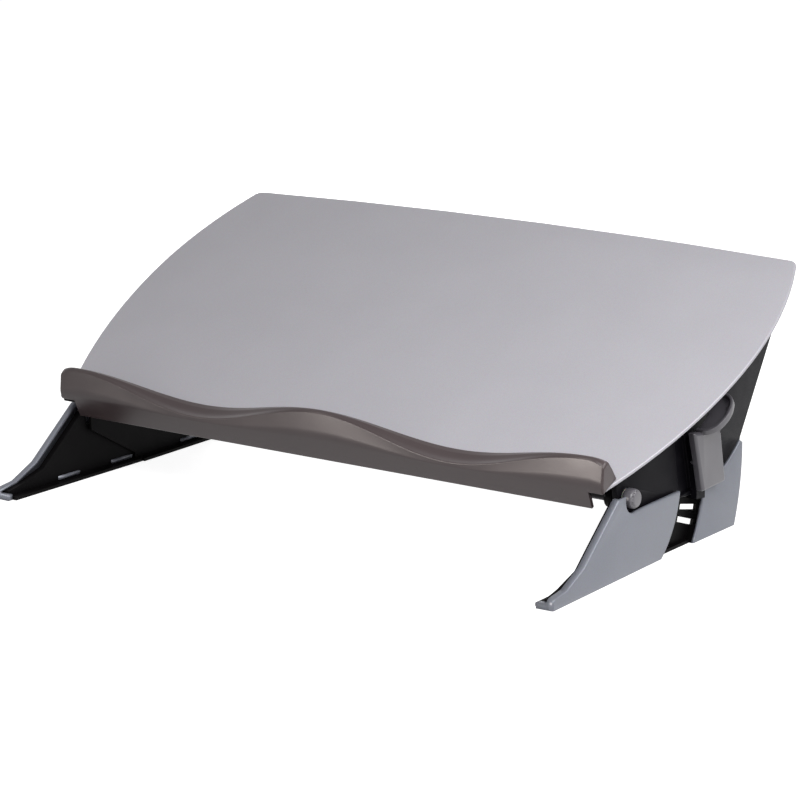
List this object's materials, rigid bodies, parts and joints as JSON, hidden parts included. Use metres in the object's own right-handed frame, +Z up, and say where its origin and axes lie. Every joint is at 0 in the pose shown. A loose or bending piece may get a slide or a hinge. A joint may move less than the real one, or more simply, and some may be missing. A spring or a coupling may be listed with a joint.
{
  "type": "writing slope",
  "caption": "Free-standing sloped document holder: grey platform with a waved front ledge that glides on rails over a tilting cradle held by sprung side levers between splayed feet.",
  "frame": {"origin": "on the desk below the middle of the part's bounding box", "axes": "+X to the user's right, +Y away from the user, +Z up"},
  "size_m": [0.5608, 0.3491, 0.1946],
  "materials": {
    "silver_cover": "fine-grained silver-grey plastic",
    "black_frame": "satin black plastic",
    "black_panel": "satin black plastic",
    "pad_rubber": "matt black rubber",
    "bright_steel": "turned steel",
    "spring_steel": "bent spring sheet",
    "zinc_sheet": "zinc-plated sheet steel",
    "black_sheet": "black powder-coated sheet steel",
    "white_nylon": "natural nylon",
    "platform_grey": "smooth satin grey plastic sheet",
    "ledge_charcoal": "satin-gloss dark warm grey moulding",
    "lever_grey": "satin grey plastic"
  },
  "bodies": {
    "base": {"right_foot_frame": "black_frame", "left_foot_frame": "black_frame", "right_front_cover": "silver_cover", "left_front_cover": "silver_cover", "right_rear_cover": "silver_cover", "left_rear_cover": "silver_cover", "right_foot_pads": "pad_rubber", "left_foot_pads": "pad_rubber", "right_pivot_cap": "bright_steel", "left_pivot_cap": "bright_steel", "pivot_shaft": "bright_steel"},
    "cradle": {"right_side_panel": "black_panel", "left_side_panel": "black_panel", "right_pivot_bush": "white_nylon", "left_pivot_bush": "white_nylon", "right_fixed_rail": "zinc_sheet", "left_fixed_rail": "zinc_sheet", "right_rail_stops": "black_frame", "left_rail_stops": "black_frame", "right_hinge_pin": "bright_steel", "left_hinge_pin": "bright_steel", "front_cross_bar": "black_sheet", "rear_cross_bar": "black_sheet"},
    "platform": {"writing_platform": "platform_grey", "front_ledge": "ledge_charcoal", "right_glide_rail": "zinc_sheet", "left_glide_rail": "zinc_sheet", "right_glide_blocks": "white_nylon", "left_glide_blocks": "white_nylon"},
    "right_lever_body": {"right_lever": "lever_grey", "right_catch": "black_panel", "right_lever_spring": "spring_steel"},
    "left_lever_body": {"left_lever": "lever_grey", "left_catch": "black_panel", "left_lever_spring": "spring_steel"}
  },
  "joints": [
    {"name": "tilt", "type": "hinge", "parent": "base", "child": "cradle", "pos_m": [0, -0.06282, 0.056], "axis": [1, 0, 0], "range_deg": [-11.8, 0]},
    {"name": "glide", "type": "slide", "parent": "cradle", "child": "platform", "axis": [0, -0.9048, -0.4258], "range_m": [0, 0.1]},
    {"name": "right_lever_squeeze", "type": "hinge", "parent": "cradle", "child": "right_lever_body", "pos_m": [0.249, 0.03818, 0.066], "axis": [0, -0.9659, -0.2588], "range_deg": [0, 7], "stiffness_Nm_per_rad": 0.6, "springref_deg": -11.46},
    {"name": "left_lever_squeeze", "type": "hinge", "parent": "cradle", "child": "left_lever_body", "pos_m": [-0.249, 0.03818, 0.066], "axis": [0, 0.9659, 0.2588], "range_deg": [0, 7], "stiffness_Nm_per_rad": 0.6, "springref_deg": -11.46}
  ]
}
